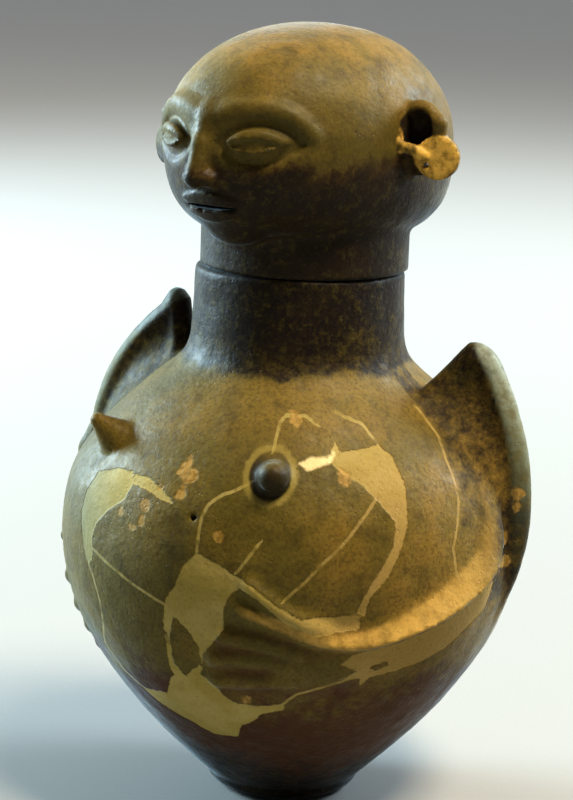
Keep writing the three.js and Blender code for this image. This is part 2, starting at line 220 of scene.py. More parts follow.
WALL_LINE = np.vstack([
    [[0, 0], [FOOT_RADIUS, 0]],
    bezier((FOOT_RADIUS, 0), (50, 1), (HEEL[0] - 1, 4), HEEL),
    bezier(HEEL, (BELLY_RADIUS * 0.64, 58), (BELLY_RADIUS, 122), (BELLY_RADIUS, BELLY_HEIGHT)),
    bezier((BELLY_RADIUS, BELLY_HEIGHT), (BELLY_RADIUS, 243), (147, 265), SHOULDER),
    bezier(SHOULDER, (92, 315), (THROAT[0], 319), THROAT),
])
LIP = [(RIM_RADIUS, RIM_HEIGHT - RIM_ROUNDING), (RIM_RADIUS - 1, RIM_HEIGHT - 1),
       (RIM_RADIUS - RIM_ROUNDING, RIM_HEIGHT)]


def wall_radius(height):
    return np.interp(height, WALL_LINE[2:, 1], WALL_LINE[2:, 0])


def wall_normal(turn, height):
    slope = (wall_radius(height + 1) - wall_radius(height - 1)) / 2
    normal = outwards(turn) - slope * np.array([0, 0, 1.0])
    return normal / np.linalg.norm(normal)


def on_wall(turn, height, lift=0.0):
    return outwards(turn) * wall_radius(height) + [0, 0, height] + lift * wall_normal(turn, height)


plan_low, plan_high = (-20, -20), (BELLY_RADIUS + 60, CROWN_HEIGHT)
solid_outline = Outline(np.vstack([WALL_LINE, LIP, [[0, RIM_HEIGHT]]]), plan_low, plan_high)
# The hollow is everything more than a wall's thickness inside a jar whose mouth stays open. A known
# fault: this outline is closed along the axis too, so a rod of clay as thick as the wall is left there.
open_outline = Outline(np.vstack([WALL_LINE, [[RIM_RADIUS, RIM_HEIGHT], [RIM_RADIUS, 450], [0, 450]]]),
                       plan_low, plan_high)


def wobble(points, size, waves):
    """Slow waves of a hand-built surface, in millimetres."""
    value = np.zeros(len(points))
    for direction, phase in waves:
        value += np.sin(points @ direction + phase)
    return value * size / len(waves)


def make_waves(count, shortest, longest):
    directions = rng.normal(size=(count, 3))
    directions /= np.linalg.norm(directions, axis=1)[:, None]
    lengths = rng.uniform(shortest, longest, count)
    return [(d * 2 * math.pi / n, phase)
            for d, n, phase in zip(directions, lengths, rng.uniform(0, 6.28, count))]


HAND_WAVES = make_waves(9, 45, 120)
TOOL_WAVES = make_waves(9, 14, 30)


def chart(points):
    """Distance from the axis, turn in degrees and height of each point."""
    radius = np.hypot(points[:, 0], points[:, 1])
    return radius, np.degrees(np.arctan2(points[:, 0], -points[:, 1])), points[:, 2]


# ---- the wings ----

# turn, reach and its arc's radius above the widest level, tip height and radius, and the inner edge's foot
LEFT_WING = dict(turn=100, reach=180, arc=218, tip=346, tip_radius=134, inner=92)
RIGHT_WING = dict(turn=-88, reach=178, arc=150, tip=362, tip_radius=104, inner=84)
WING_REACH_HEIGHT = 226
WING_LOW = 138
WING_LOW_ARC = 150
WING_ROOT = 302
WING_HALF = 12  # half of the thickness
WING_EDGE = 20  # width of the rounded outer edge
# Half width of the front face's foot on the jar, by height.
FRONT_FOOT = [(150, 80), (195, 73), (220, 72), (232, 66), (245, 60), (258, 54), (272, 46), (286, 38),
              (300, 32), (330, 14)]
BACK_FOOT = [(150, 45), (226, 36), (286, 24), (330, 12)]


def wing_outer(side, height):
    arc = np.where(height > WING_REACH_HEIGHT, side["arc"], WING_LOW_ARC)
    return side["reach"] - arc + np.sqrt(np.maximum(arc ** 2 - (height - WING_REACH_HEIGHT) ** 2, 0))


def wing_outline(side):
    """The fin seen square on: outer arc, round tip, straight inner edge, then closed deep in the clay."""
    tip, tip_radius = side["tip"], side["tip_radius"]
    heights = np.linspace(WING_LOW, tip - 14, 20)
    outer = np.column_stack([wing_outer(side, heights), heights])
    round_tip = bezier(outer[-1], (outer[-1][0] - 7, tip - 3), (tip_radius + 4, tip),
                       (tip_radius - 5, tip - 2), 6)
    inner = [(tip_radius - 11, tip - 8), (side["inner"], WING_ROOT), (side["inner"] - 25, WING_ROOT - 30),
             (60, WING_LOW)]
    return Outline(np.vstack([outer, round_tip, inner]), (30, 110), (240, 400))


for wing_side in (LEFT_WING, RIGHT_WING):
    wing_side["outline"] = wing_outline(wing_side)


def cove(side, radius, height, feet):
    """How far a wing's face has swung out from the fin's own thickness, between the edge and the foot."""
    foot = np.interp(height, *np.array(feet, float).T)
    start = wing_outer(side, height) - WING_EDGE * 0.55
    end = np.sqrt(np.maximum(wall_radius(height) ** 2 - foot ** 2, 0))
    share = np.clip((start - radius) / np.maximum(start - end, 12), 0, 1)
    return (foot - WING_HALF) * share ** 1.6


def wing(points, side):
    out, across = outwards(side["turn"]), sideways(side["turn"])
    towards_front = -1 if side["turn"] > 0 else 1
    radius, height = points @ out, points[:, 2]
    depth = points @ across * towards_front
    edge = side["outline"](radius, height)
    front_cove = cove(side, radius, height, FRONT_FOOT)
    back_cove = cove(side, radius, height, BACK_FOOT)
    from_middle = np.maximum(depth - front_cove, 0) + np.maximum(-depth - back_cove, 0)
    rounded = WING_HALF * (np.hypot(np.maximum(1 + edge / WING_EDGE, 0), from_middle / WING_HALF) - 1)
    # The front face is hollowed a little behind its edge, which leaves a crisp arris.
    hollow = ramp(-edge, 6, 20) * (1 - ramp(-edge, 25, 60)) * ramp(height, 190, 240)
    face = (depth - front_cove - WING_HALF + 1.7 + 2.5 * hollow) * 0.9
    chipped = np.maximum(rounded, face)
    return np.where(radius > 0, chipped, 30.0)


# ---- arms, hands and breasts ----

# Each line runs over the wall from the wing towards the finger tips.
LEFT_ARM = dict(
    crest=[(94, 238), (91, 216), (87, 200), (80, 187), (72, 176), (61, 164), (51, 156), (42, 156), (34, 163)],
    palm=[(45, 140), (35, 137), (30, 138)],
    fingers=[[(38, 159), (29, 169), (20, 178)], [(34, 149), (25, 156), (16, 158)],
             [(33, 139), (23, 143), (13, 140)], [(33, 128), (23, 126), (13, 123)]],
    thumb=[(39, 166), (31, 177), (22, 196)],
)
RIGHT_ARM = dict(
    crest=[(-86, 230), (-86, 205), (-85, 185), (-83, 168), (-80, 156), (-76, 148), (-69, 146)],
    palm=[(-82, 134), (-75, 130), (-71, 130)],
    fingers=[[(-77, 146), (-67, 150), (-57, 153)], [(-75, 138), (-65, 136), (-55, 133)],
             [(-74, 129), (-65, 124), (-55, 117)], [(-74, 121), (-65, 113), (-56, 103)]],
    thumb=[(-80, 152), (-72, 163), (-64, 178)],
)


def sunk(half_width, height):
    """Radius of a bar, and the lift of its middle, that shows a ridge of this half width and height."""
    radius = (half_width ** 2 + height ** 2) / (2 * height)
    return radius, height - radius


def ridge(points, route, half_widths, heights, count):
    line = spline(route, count)
    centres, radii = [], []
    for i, (turn, height) in enumerate(line):
        share = i / (count - 1)
        radius, lift = sunk(half_widths[0] + (half_widths[1] - half_widths[0]) * share,
                            heights[0] + (heights[1] - heights[0]) * share)
        centres.append(on_wall(turn, height, lift))
        radii.append(radius)
    return sweep(points, np.array(centres), radii)


def ledge(points, arm):
    """Height of the forearm over the belly: a hollowed slope up to the crest, and a steep underside.

    It carries on the front edge of the wing, and dies away at the hand.
    """
    radius, turn, height = chart(points)
    line = spline(arm["crest"], 18)
    side, _ = signed_line_distance(turn, height, np.maximum(radius, 60) * math.pi / 180, [line])
    above = side if line[-1, 0] > line[0, 0] else -side
    share = (turn - line[0, 0]) / (line[-1, 0] - line[0, 0])
    rise = np.interp(share, (-0.03, 0.0, 0.06, 0.16, 0.45, 0.80, 1.0, 1.08), (0, 2, 7, 11.5, 14, 9, 5, 0))
    width = np.interp(share, (0, 0.3, 1.0), (32, 21, 13))
    slope = np.clip(1 - above / width, 0, 1) ** 1.35
    underside = np.clip(1 + above / 6, 0, 1)
    return rise * np.where(above > 0, slope, underside)


def add_arm(clay, points, arm):
    """The forearm is a ledge that carries on the wing's front edge. The hand lies flat on the belly."""
    low = np.min([on_wall(t, z, -10) for t, z in arm["crest"]], axis=0) - 35
    high = np.max([on_wall(t, z, 20) for t, z in arm["crest"]], axis=0) + 35
    clay = clay - near(lambda p: ledge(p, arm), points, low, high, 0, 0.0)
    hand = ridge(points, arm["palm"], (17, 19), (4.3, 3.4), 5)
    for finger in arm["fingers"]:
        hand = join(hand, ridge(points, finger, (6.8, 5.6), (4.3, 3.8), 7), 1.0)
    hand = join(hand, ridge(points, arm["thumb"], (6.5, 4.8), (6.0, 5.0), 7), 1.6)
    return join(clay, hand, 6)


def breast(points, turn, height, tilt, radius, tip):
    aim = outwards(turn) * math.cos(math.radians(tilt)) + [0, 0, math.sin(math.radians(tilt))]
    base = on_wall(turn, height)
    return capsule(points, base - 3 * aim, base + tip[0] * aim, radius, tip[1])


# ---- the whole jar ----

# Turn, height, upward tilt, radius at the wall, and how far out the tip's middle lies with its radius.
# One is a dome, the other a cone.
BREASTS = ((26, 265, 20, 13.5, (6, 10)), (-33, 271, 42, 16, (19, 5.5)))
DRILL_HOLE = dict(turn=6.7, height=237, radius=2.2)


def jar_field(points):
    radius, _, height = chart(points)
    lumps = wobble(points, 1.0, HAND_WAVES) + wobble(points, 0.35, TOOL_WAVES)
    calm = ramp(height, 3, 30) * (1 - ramp(height, RIM_HEIGHT - 25, RIM_HEIGHT - 6))
    body = solid_outline(radius + lumps * calm, height)
    left = near(lambda p: wing(p, LEFT_WING), points, np.array([0, -110, 120]), np.array([190, 110, 360]), 5)
    right = near(lambda p: wing(p, RIGHT_WING), points, np.array([-190, -110, 120]),
                 np.array([0, 110, 370]), 5)
    clay = join(body, left + 0.5 * lumps, 4)
    clay = join(clay, right + 0.5 * lumps, 4)
    clay = add_arm(clay, points, LEFT_ARM)
    clay = add_arm(clay, points, RIGHT_ARM)
    for one in BREASTS:
        place = on_wall(*one[:2])
        clay = join(clay, near(lambda p: breast(p, *one), points, place - 35, place + 35, 5), 2.5)
    hollow = open_outline(radius, height) + WALL
    hollow = np.maximum(hollow, FLOOR - height)
    clay = cut(clay, hollow, 2.0)
    start, end = (on_wall(DRILL_HOLE["turn"], DRILL_HOLE["height"], lift) for lift in (-2 * WALL, 8))
    drill = near(lambda p: capsule(p, start, end, DRILL_HOLE["radius"], DRILL_HOLE["radius"]), points,
                 np.minimum(start, end), np.maximum(start, end), 8)
    return cut(clay, drill, 0.6)


# ---- the lid: a head ----

LID_TURN = -7
LID_SHIFT = np.array([2.4, 1.4, 0])
COLLAR_RADIUS = 74.5
COLLAR_WALL = 8.5
COLLAR_TOP = 432
HEAD_BASE = 408
HEAD_MIDDLE = 474
HEAD_HALF_WIDTH = 92
HEAD_HALF_LENGTH = 119
HEAD_BACK = 2
CHIN_TAPER = 0.2  # share of the width lost at the chin, set after a look at the photo's jaw

# Plain drawing-manual proportions: eyes half way up, an eye's width between them, the nose's foot half
# way from brow to chin, the mouth a third of the way below that.
HEAD_HEIGHT = CROWN_HEIGHT - HEAD_BASE
EYE_WIDTH = 2 * HEAD_HALF_WIDTH / 5
EYE_LINE = HEAD_BASE + HEAD_HEIGHT / 2
BROW_LINE = EYE_LINE + 0.09 * HEAD_HEIGHT
NOSE_FOOT = (BROW_LINE + HEAD_BASE) / 2
MOUTH_LINE = NOSE_FOOT - (NOSE_FOOT - HEAD_BASE) / 3


def head_level(points, inset):
    """0 on the head's plain form, negative inside, with no true scale yet."""
    x, y, z = points.T
    above = z > HEAD_MIDDLE
    fullness = np.where(above, 2.15, 3.2)
    rise = np.where(above, CROWN_HEIGHT - HEAD_MIDDLE, HEAD_MIDDLE - HEAD_BASE)
    back = y - HEAD_BACK
    around = np.hypot(x / HEAD_HALF_WIDTH, back / HEAD_HALF_LENGTH) + 1e-6
    forward = np.clip(-back / HEAD_HALF_LENGTH / around, 0, 1)
    low = np.clip((HEAD_MIDDLE - z) / rise, 0, 1)
    across = x / ((HEAD_HALF_WIDTH - inset) * (1 - CHIN_TAPER * forward * low))
    along = back / ((HEAD_HALF_LENGTH - inset) * (1 - 0.05 * forward * low))
    spread = np.hypot(across, along)
    return (spread ** fullness + np.abs((z - HEAD_MIDDLE) / (rise - inset)) ** fullness) ** (1 / fullness) - 1


def head_form(points, inset=0.0):
    value = head_level(points, inset)
    slopes = [head_level(points + offset, inset) - value for offset in np.eye(3)]
    return value / np.maximum(np.linalg.norm(slopes, axis=0), 0.004)


def face_at(x, z):
    """How far forward the plain face lies, as a y, in front of a point."""
    y = np.linspace(-HEAD_HALF_LENGTH - 5, 0, 240)
    line = np.column_stack([np.full_like(y, x), y, np.full_like(y, z)])
    return float(y[np.argmax(head_level(line, 0.0) < 0)])


NOSE_ROOT = np.array([0, face_at(0, BROW_LINE + 6) + 4.5, BROW_LINE + 6])
NOSE_TIP = np.array([0, face_at(0, NOSE_FOOT) - 8.5, NOSE_FOOT + 6])
BROW = [(4, 1), (EYE_WIDTH * 0.55, 6), (EYE_WIDTH, 8), (EYE_WIDTH * 1.45, 3), (EYE_WIDTH * 1.75, -8)]


def nose(points):
    """A long wedge from the brow to a foot with two soft wings."""
    middle = (NOSE_ROOT + NOSE_TIP) / 2 + [0, -1.5, 0]
    bridge = join(capsule(points, NOSE_ROOT, middle, 5.5, 6.5),
                  capsule(points, middle, NOSE_TIP, 6.5, 7.5), 4)
    for side in (-1, 1):
        flare = ellipsoid(points, NOSE_TIP + [side * 8.5, 7.5, -1], np.array([6.5, 8.5, 5.8]))
        bridge = join(bridge, flare, 4.5)
    return bridge


def pointed_oval(x, z, half_width, half_height):
    """Signed distance to the shape between two arcs."""
    radius = (half_width ** 2 + half_height ** 2) / (2 * half_height)
    return np.hypot(x, np.abs(z) + radius - half_height) - radius


def raised(head, plain, oval, lift, blend):
    """A soft raised area of the face. plain is the distance to the face's plain form."""
    return join(head, np.maximum(plain - lift, oval), blend)


def sunken(head, plain, oval, depth, blend):
    return cut(head, np.maximum(-plain - depth, oval), blend)


def face(points, head):
    x, y, z = points.T
    whole = head
    plain = np.where(y < 0, head, 30.0)
    for side in (-1, 1):
        line = np.array([(side * bx, face_at(bx, BROW_LINE + bz) + 3.6, BROW_LINE + bz) for bx, bz in BROW])
        brow = sweep(points, spline(line, 9), np.linspace(5.8, 3.8, 9))
        from_eye = (x - side * EYE_WIDTH) * side
        # The outer corner of the eye stands a little higher than the inner one.
        level = z - EYE_LINE - 0.05 * from_eye
        head = sunken(head, plain, pointed_oval(from_eye, level + 1, 23, 13), 2.0, 9)
        head = join(head, brow, 7)
        dome = 3.8 * (1 - np.clip(from_eye / 19, -1, 1) ** 2) * (1 - np.clip(level / 11, -1, 1) ** 2)
        head = join(head, np.maximum(plain - dome, pointed_oval(from_eye, level, 18.5, 8.5)), 3)
        # The lids part a little below the middle of the ball.
        parting = pointed_oval(from_eye, level + 1.6, 15.5, 3.8)
        head = cut(head, np.maximum(parting, dome - plain - 2.0), 0.8)
        nostril = np.array([side * 7.5, NOSE_TIP[1] + 6, NOSE_TIP[2] - 14])
        head = cut(head, capsule(points, nostril, nostril + [0, 4, 14], 2.2, 2.0), 0.8)
    head = join(head, nose(points), 5)
    head = raised(head, plain, pointed_oval(x, z - MOUTH_LINE - 4.5, 24, 5.5), 2.4, 3.5)
    head = raised(head, plain, pointed_oval(x, z - MOUTH_LINE + 4.8, 20, 5.5), 2.6, 3.5)
    head = sunken(head, plain, pointed_oval(x, z - MOUTH_LINE, 24, 1.7), 11, 0.8)
    chin = ellipsoid(points, np.array([0, face_at(0, 420) + 10, 421]), np.array([20, 13, 11]))
    return np.where(y < 0, join(head, chin, 10), whole)


# Each ear: side of the head, how far out, how far forward, height.
NEAR_EAR = (1, 95, 1, 487)
FAR_EAR = (-1, 103, 13, 478)


def ear_place(points, ear):
    """Points as the ear sees them: out from the head, backwards, up."""
    side, out, forward, height = ear
    return np.column_stack([points[:, 0] * side - out, points[:, 1] + forward, points[:, 2] - height])


def ear_cup(place):
    cup = ellipsoid(place, np.array([0, 2, 0]), np.array([22.5, 11, 26]))
    return join(cup, ellipsoid(place, np.array([17, 0, 11]), np.array([6, 6, 6])), 3)


def ear_scoop(place):
    scoop = ellipsoid(place, np.array([2.5, -13, 6]), np.array([14, 19, 15.5]))
    return np.maximum(scoop, -6 - place[:, 0])


LOBE_TURN = math.radians(24)  # the disc faces part way to the side
EAR_HOOK = [(-11, -6, 12), (-10, -11, 3), (-5, -13, -5), (4, -11, -7), (11, -7, -11)]


def ear_lobe(place):
    """The rim's hooked foot, and the flat disc below it."""
    c, s = math.cos(LOBE_TURN), math.sin(LOBE_TURN)
    x, y, z = (place - [17.5, 0, -12]).T
    across, thick = c * x + s * y, -s * x + c * y
    disc = np.hypot(np.maximum(np.hypot(across, z) - 12.7, 0), np.maximum(np.abs(thick) - 2.0, 0)) - 2.4
    return join(sweep(place, spline(EAR_HOOK, 10), np.linspace(3.2, 4.2, 10)), disc, 1.5)


def ear_hole(place):
    c, s = math.cos(LOBE_TURN), math.sin(LOBE_TURN)
    start = np.array([17.5 - 7.5 * c + 12 * s, -7.5 * s - 12 * c, -17])
    return capsule(place, start, start + [-24 * s, 24 * c, 0], 2.0, 2.0)


def add_ear(head, points, one):
    place = ear_place(points, one)
    close = [near(part, place, np.array([-30, -45, -50]), np.array([45, 40, 45]), 0)
             for part in (ear_cup, ear_scoop, ear_lobe, ear_hole)]
    cup, scoop, lobe, hole = close
    return cut(join(cut(join(head, cup, 4), scoop, 2), lobe, 1.5), hole, 0.6)


def lid_field(points):
    local = points - LID_SHIFT
    c, s = math.cos(math.radians(LID_TURN)), math.sin(math.radians(LID_TURN))
    local = np.column_stack([c * local[:, 0] + s * local[:, 1], -s * local[:, 0] + c * local[:, 1],
                             local[:, 2]])
    lumps = wobble(local, 0.8, HAND_WAVES) + wobble(local, 0.25, TOOL_WAVES)
    head = face(local, head_form(local) + lumps)
    for one in (NEAR_EAR, FAR_EAR):
        head = add_ear(head, local, one)
    radius = np.hypot(local[:, 0], local[:, 1])
    tube = np.maximum(radius - COLLAR_RADIUS, np.maximum(SEAT_HEIGHT - local[:, 2], local[:, 2] - COLLAR_TOP))
    head = join(head, tube, 4)
    head = np.maximum(head, SEAT_HEIGHT - local[:, 2])
    inside = head_form(local, WALL)
    bore = np.maximum(radius - COLLAR_RADIUS + COLLAR_WALL, local[:, 2] - COLLAR_TOP)
    return cut(head, join(inside, bore, 6), 2)


# ---- from field to mesh ----

BLOCK = 5  # grid points on a side of the blocks that are looked at whole before they are looked into


def sample(field, low, high, step):
    """The field on a grid. Blocks far from any surface get one value for all their points."""
    low = np.array(low, float) - 2 * step
    blocks = np.ceil(((np.array(high) + 2 * step - low) / step + 1) / BLOCK).astype(int)
    which = np.stack(np.meshgrid(*[np.arange(n) for n in blocks], indexing="ij"), -1).reshape(-1, 3)
    rough = field(low + ((which + 0.5) * BLOCK - 0.5) * step)
    values = np.kron(rough.reshape(blocks), np.ones((BLOCK, BLOCK, BLOCK)))
    close = which[np.abs(rough) < BLOCK * step * 1.25 + 3]
    offsets = np.stack(np.meshgrid(*[np.arange(BLOCK)] * 3, indexing="ij"), -1).reshape(-1, 3)
    for chunk in np.array_split(close, max(1, len(close) // 1500)):
        nodes = (chunk[:, None] * BLOCK + offsets).reshape(-1, 3)
        values[tuple(nodes.T)] = field(low + nodes * step)
    return values, low


def surface(field, low, high, step):
    """Points and four-sided faces where the field is zero (surface nets), then pulled exactly onto it."""
    values, low = sample(field, low, high, step)
    solid = values < 0
    cells = tuple(n - 1 for n in values.shape)
    corner = [(i, j, k) for i in (0, 1) for j in (0, 1) for k in (0, 1)]
    count = sum(solid[i:cells[0] + i, j:cells[1] + j, k:cells[2] + k].astype(np.int8) for i, j, k in corner)
    active = np.argwhere((count > 0) & (count < 8))
    at = {c: values[tuple((active + c).T)] for c in corner}
    total, crossings = np.zeros((len(active), 3)), np.zeros(len(active))
    for a in corner:
        for axis in range(3):
            if a[axis]:
                continue
            b = tuple(1 if i == axis else a[i] for i in range(3))
            crossed = (at[a] < 0) != (at[b] < 0)
            share = np.where(crossed, at[a] / np.where(crossed, at[a] - at[b], 1), 0)
            for i in range(3):
                total[:, i] += crossed * (share if i == axis else a[i])
            crossings += crossed
    points = low + (active + total / crossings[:, None]) * step
    number = np.full(cells, -1, np.int32)
    number[tuple(active.T)] = np.arange(len(active))
    faces = []
    for axis in range(3):
        u, v = (axis + 1) % 3, (axis + 2) % 3
        first = np.moveaxis(solid, axis, 0)[:-1]
        second = np.moveaxis(solid, axis, 0)[1:]
        edges = np.argwhere(np.moveaxis(first != second, 0, axis))
        edges = edges[(edges[:, u] > 0) & (edges[:, v] > 0)]
        outward = solid[tuple(edges.T)]
        ring = []
        for du, dv in ((1, 1), (0, 1), (0, 0), (1, 0)):
            cell = edges.copy()
            cell[:, u] -= du
            cell[:, v] -= dv
            ring.append(number[tuple(cell.T)])
        quad = np.column_stack(ring)
        faces.append(np.where(outward[:, None], quad, quad[:, ::-1]))
    faces = np.vstack(faces)
    for weight in (0.5, 0.5, 0.25):
        points = onto(field, smoothed(points, faces, weight), step)
    return points, faces


def smoothed(points, faces, weight):
    """Each point moved towards the middle of its neighbours."""
    ends = np.vstack([np.column_stack([faces[:, i], faces[:, (i + 1) % 4]]) for i in range(4)])
    ends = np.vstack([ends, ends[:, ::-1]])
    total = np.column_stack([np.bincount(ends[:, 0], points[ends[:, 1], i], len(points)) for i in range(3)])
    number = np.bincount(ends[:, 0], minlength=len(points))[:, None]
    return points + weight * (total / np.maximum(number, 1) - points)


def onto(field, points, step):
    """Each point moved along the field's slope to where it is zero, never further than a grid step."""
    value = field(points)
    small = 0.2 * step
    slope = np.column_stack([(field(points + small * axis) - value) / small for axis in np.eye(3)])
    size = np.linalg.norm(slope, axis=1)
    move = np.clip(value / np.maximum(size, 0.3), -0.6 * step, 0.6 * step)
    return points - slope / np.maximum(size, 1e-6)[:, None] * move[:, None]


def mesh_piece(name, points, faces):
    mesh = bpy.data.meshes.new(name)
    mesh.from_pydata((points * MM).tolist(), [], faces.tolist())
    mesh.shade_smooth()
    piece = bpy.data.objects.new(name, mesh)
    bpy.context.scene.collection.objects.link(piece)
    return piece


def thin_out(piece, hidden, share):
    """Fewer faces where the surface is plain and hidden."""
    group = piece.vertex_groups.new(name="hidden")
    group.add(np.flatnonzero(hidden).tolist(), 1.0, "REPLACE")
    modifier = piece.modifiers.new("thin", "DECIMATE")
    modifier.vertex_group = "hidden"
    kept = 1 - hidden.mean() * (1 - share)
    modifier.ratio = kept
    bpy.context.view_layer.objects.active = piece
    with bpy.context.temp_override(object=piece, active_object=piece):
        bpy.ops.object.modifier_apply(modifier="thin")
    piece.vertex_groups.clear()
    piece.data.shade_smooth()


def vertex_points(piece):
    flat = np.zeros(3 * len(piece.data.vertices))
    piece.data.vertices.foreach_get("co", flat)
    return flat.reshape(-1, 3) / MM


def write_attribute(piece, name, values):
    piece.data.attributes.new(name, "FLOAT", "POINT").data.foreach_set("value", values.astype(np.float32))


# ---- breaks and repairs, as (turn, height) on the jar's wall ----

# Most of these points were picked in the photo and carried onto the wall by a scratch program.

PLASTER = {
    "over the hand": [
        (9, 215), (14, 210), (22, 198), (18, 191), (16, 180), (16, 164), (14, 156), (10, 142), (9, 129),
        (7, 122), (0, 118), (-1, 126), (0, 148), (0, 164), (1, 178), (4, 191), (6, 206)],
    "thumb": [
        (19, 203), (23, 198), (28, 186), (34, 176), (48, 178), (48, 167), (37, 165), (31, 171),
        (24, 189), (20, 195)],
    "below the hand": [
        (-18, 97), (-6, 101), (-1, 119), (8, 125), (12, 119), (14, 109), (17, 104), (24, 103), (31, 107),
        (31, 101), (24, 96), (22, 89), (17, 82), (15, 71), (6, 69), (-2, 78), (-12, 87)],
    "left shoulder": [
        (44, 287), (45, 281), (52, 282), (58, 284), (61, 277), (62, 262), (61, 247), (60, 234),
        (58, 222), (54, 202), (50, 190), (49, 176), (47, 180), (49, 193), (52, 207), (56, 224),
        (57, 238), (53, 252), (50, 261), (45, 269), (41, 276)],
    "right shoulder": [
        (-16, 257), (-22, 256), (-30, 249), (-32, 235), (-32, 218), (-29, 198), (-26, 186), (-24, 193),
        (-25, 206), (-24, 217), (-20, 229), (-15, 239), (-14, 250)],
    "right streak": [
        (-15, 256), (-9, 256), (-3, 250), (2, 242), (-4, 245), (-10, 249), (-15, 250)],
    "under the forearm": [
        (44, 142), (47, 149), (58, 153), (72, 164), (84, 180), (90, 184), (88, 166), (81, 154),
        (75, 142), (68, 135), (59, 130), (53, 128), (51, 121), (50, 129), (44, 128), (49, 135)],
}
SHERDS_IN_PLASTER = [[(3, 168), (7, 158), (9, 147), (9, 134), (3, 120), (1, 130), (1, 150)],
                     [(52, 137), (57, 140), (58, 136), (54, 133)]]
CRACKS = [
    [(53, 254), (48, 240), (43, 225), (38, 212), (35, 202), (30, 188)],
    [(20, 262), (16, 256), (13, 253), (10, 246), (9, 237), (9, 214)],
    [(25, 281), (26, 297), (28, 301), (35, 301), (39, 296)],
    [(46, 303), (55, 296), (58, 284)],
    [(-24, 199), (-16, 192), (-7, 183), (1, 175)],
    [(24, 226), (19, 205)],
    [(-27, 190), (-24, 180), (-22, 163), (-23, 145), (-28, 125), (-25, 108), (-17, 97)],
    [(30, 105), (34, 116), (40, 122), (49, 131)],
    [(83, 300), (83, 284), (80, 271), (78, 246), (75, 228), (73, 216), (74, 196)],
]
CHIPS = [
    (45, 268, 4), (46, 262, 3), (14, 227, 2), (0.5, 267, 5), (3, 262, 5), (2, 255, 2.5), (2, 250, 3.5),
    (-8, 239, 4), (-8, 229, 3.5), (-10, 223, 3), (-15, 231, 3), (-5, 251, 1.5), (20, 107, 3),
    (31, 300, 4),
]
# Reach, height, size.
WING_CHIPS = [(171, 243, 3.5), (172, 233, 2.5), (164, 211, 4), (166, 194, 3), (160, 203, 2)]
WHITE_SPALL = [(33, 274), (36, 277), (41, 277), (43, 280), (42, 276), (38, 273), (35, 271)]


# Where each wing's front face begins, as (turn, height).
WING_ROOTS = [[(83, 320), (83, 284), (80, 271), (78, 246), (75, 228), (73, 190)],
              [(-72, 320), (-70, 271), (-66, 228), (-64, 190)]]


# The black cloud round the left elbow: its middle, and its half sizes in degrees and millimetres.
ELBOW_SOOT = (100, 202)
ELBOW_SOOT_SIZE = (28, 64)
HALO_MIDDLE = (25, 266)  # the pale ring round the left breast
UNMARKED = 60.0  # the distance written where a mark is nowhere near


def wing_soot_and_shade(points, bands):
    """How black the wings' front faces are made, fire blackening partly and painted shade partly: most near
    the tip.
    """
    _, turn, height = chart(points)
    soot_and_shade = np.zeros(len(points))
    for root, wing_side, band in zip(WING_ROOTS, (LEFT_WING, RIGHT_WING), bands):
        line = np.array(root[::-1], float)
        beyond = (turn - np.interp(height, line[:, 1], line[:, 0])) * np.sign(wing_side["turn"])
        front = ramp(beyond, 0, 2.0) * (1 - ramp(np.abs(turn), abs(wing_side["turn"]) - 1,
                                                 abs(wing_side["turn"]) + 1))
        soot_and_shade = np.maximum(soot_and_shade, front * (1 - band) * (0.34 + 0.20 * ramp(height, 235, 300))
                          * ramp(height, 195, 235))
    patch = np.hypot((turn - ELBOW_SOOT[0]) / ELBOW_SOOT_SIZE[0],
                     (height - ELBOW_SOOT[1]) / ELBOW_SOOT_SIZE[1])
    elbow = ramp(turn, 80, 89) * (1 - ramp(patch, 0.40, 1.0))
    return np.maximum(soot_and_shade, 0.62 * elbow)


def wing_chips(points):
    """How far a point is from the nearest fleck of wear along the left wing's arris."""
    out, across = points @ outwards(LEFT_WING["turn"]), points @ sideways(LEFT_WING["turn"])
    flecks = [np.hypot(out - reach, points[:, 2] - height) - size for reach, height, size in WING_CHIPS]
    return np.where((across < -3) & (across > -30), np.min(flecks, axis=0), UNMARKED)


def hand_shade(points):
    """Painted shade between the fingers of the left hand: how dark the clay is made where it lies low."""
    radius, turn, height = chart(points)
    lift = radius - wall_radius(height)
    area = (ramp(turn, 10, 16) * (1 - ramp(turn, 46, 60))
            * ramp(height, 106, 118) * (1 - ramp(height, 158, 172)))
    return area * (1 - ramp(lift, 1.5, 4.5))


def wing_bands(points):
    """For each wing, how far a point lies on its rounded outer edge."""
    bands = []
    for side in (LEFT_WING, RIGHT_WING):
        out, height = points @ outwards(side["turn"]), points[:, 2]
        beyond_arris = ramp(out - wing_outer(side, height), -13, -9)
        # The right wing, turned away from the lamps, gets less than half of the painted sheen.
        strength = 1.0 if side is LEFT_WING else 0.45
        bands.append(strength * beyond_arris * ramp(out - wall_radius(height), 1, 5) * ramp(height, 150, 215))
    return bands


def crest_highlight(points, arm):
    """Painted highlight on the forearm's hollowed top and on the first finger: how strongly they are made
    pale.
    """
    radius, turn, height = chart(points)
    line = spline(arm["crest"] + arm["fingers"][0][1:], 24)
    side, _ = signed_line_distance(turn, height, np.maximum(radius, 60) * math.pi / 180, [line])
    above = side if line[-1, 0] > line[0, 0] else -side
    share = (turn - line[0, 0]) / (line[-1, 0] - line[0, 0])
    width = np.interp(share, (0, 0.3, 0.75, 1.0), (24, 19, 9, 5))
    along = np.interp(share, (0.05, 0.22, 0.45, 0.85, 0.97, 1.02), (0, 0.6, 1, 0.9, 0.5, 0))
    return along * ramp(above, -2.5, -0.5) * (1 - ramp(above, width * 0.75, width))


